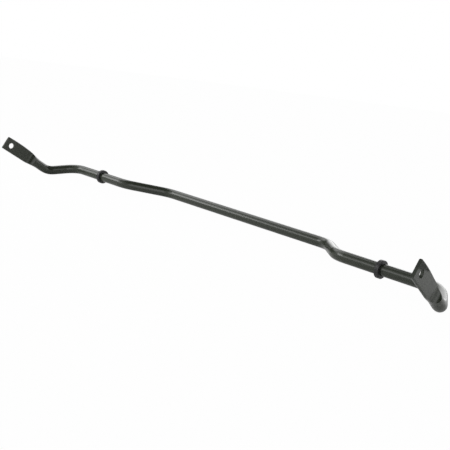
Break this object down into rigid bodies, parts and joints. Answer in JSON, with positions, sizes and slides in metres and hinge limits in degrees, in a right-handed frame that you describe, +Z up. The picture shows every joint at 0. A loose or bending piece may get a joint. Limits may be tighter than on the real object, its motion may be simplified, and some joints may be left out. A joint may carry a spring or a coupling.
{
  "type": "anti-roll bar",
  "caption": "Bent steel-tube anti-roll bar with a set-back middle run, arms that end in flattened, drilled eyes, and stop rings that locate its bushes.",
  "frame": {"origin": "on the floor that the bar lies on, under the middle of its bounding box", "axes": "+X along the bar towards the end that is nearest in the picture, -Y the way both arms reach, +Z up, away from the floor, with the eyes standing above the rest of the bar"},
  "size_m": [1.042, 0.2536, 0.0937],
  "materials": {
    "bar_coat": "satin black dip coat on steel tube",
    "ring_coat": "matt black coat on a pressed steel ring"
  },
  "bodies": {
    "root": {"bar": "bar_coat", "left_stop_ring": "ring_coat", "right_stop_ring": "ring_coat"}
  },
  "joints": []
}
